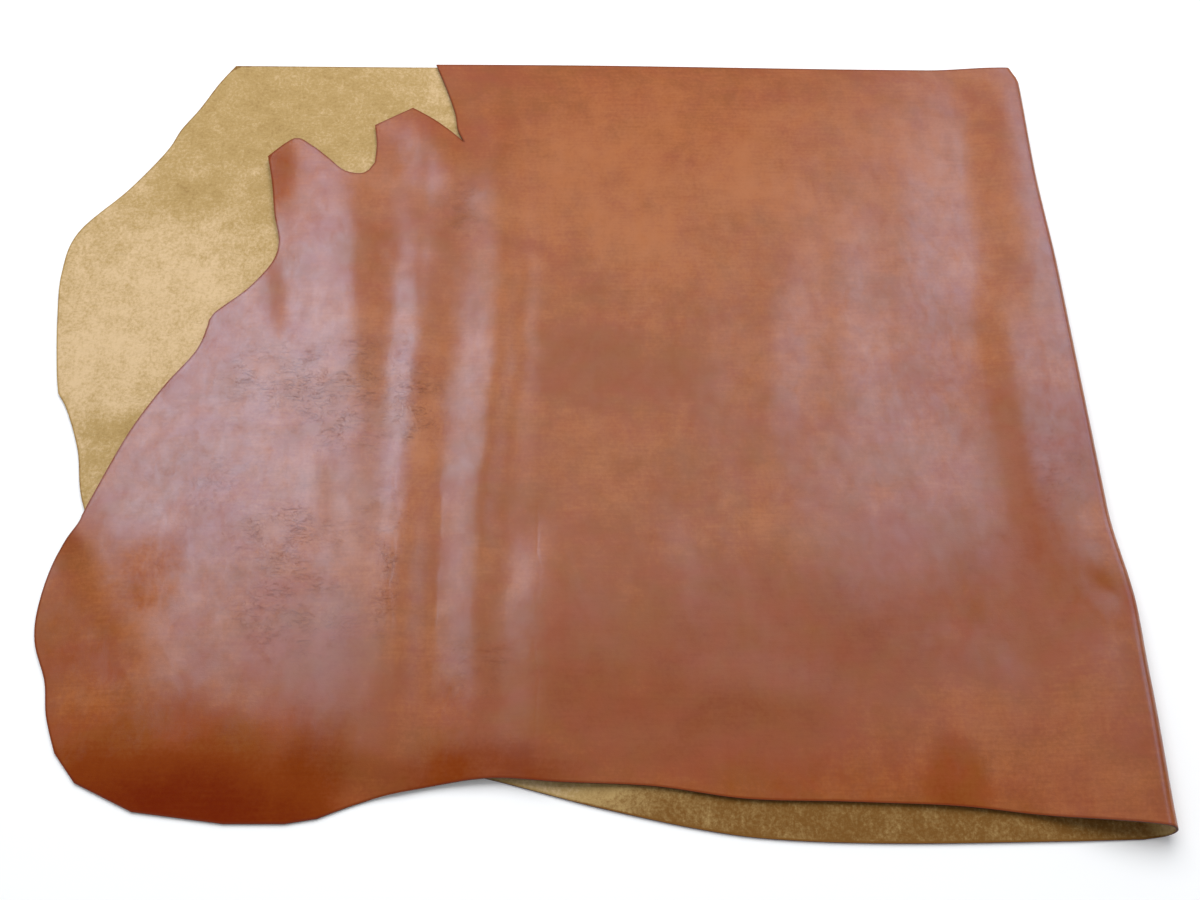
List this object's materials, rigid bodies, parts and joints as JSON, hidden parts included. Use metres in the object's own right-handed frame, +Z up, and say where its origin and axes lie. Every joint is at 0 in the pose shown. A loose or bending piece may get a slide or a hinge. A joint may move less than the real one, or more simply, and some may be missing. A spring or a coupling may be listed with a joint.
{
  "type": "folded leather hide",
  "caption": "Half hide of stout chestnut leather with natural edges, folded once across its length with the grain face outside.",
  "frame": {"origin": "on the ground, below the middle of the folded hide", "axes": "+X towards the fold, +Y towards the straight backbone cut, +Z up"},
  "size_m": [1.233, 1.042, 0.0278],
  "materials": {
    "leather": "semi-gloss chestnut grain face, tan suede flesh face, raw cut edge"
  },
  "bodies": {
    "root": {"hide": "leather"}
  },
  "joints": []
}
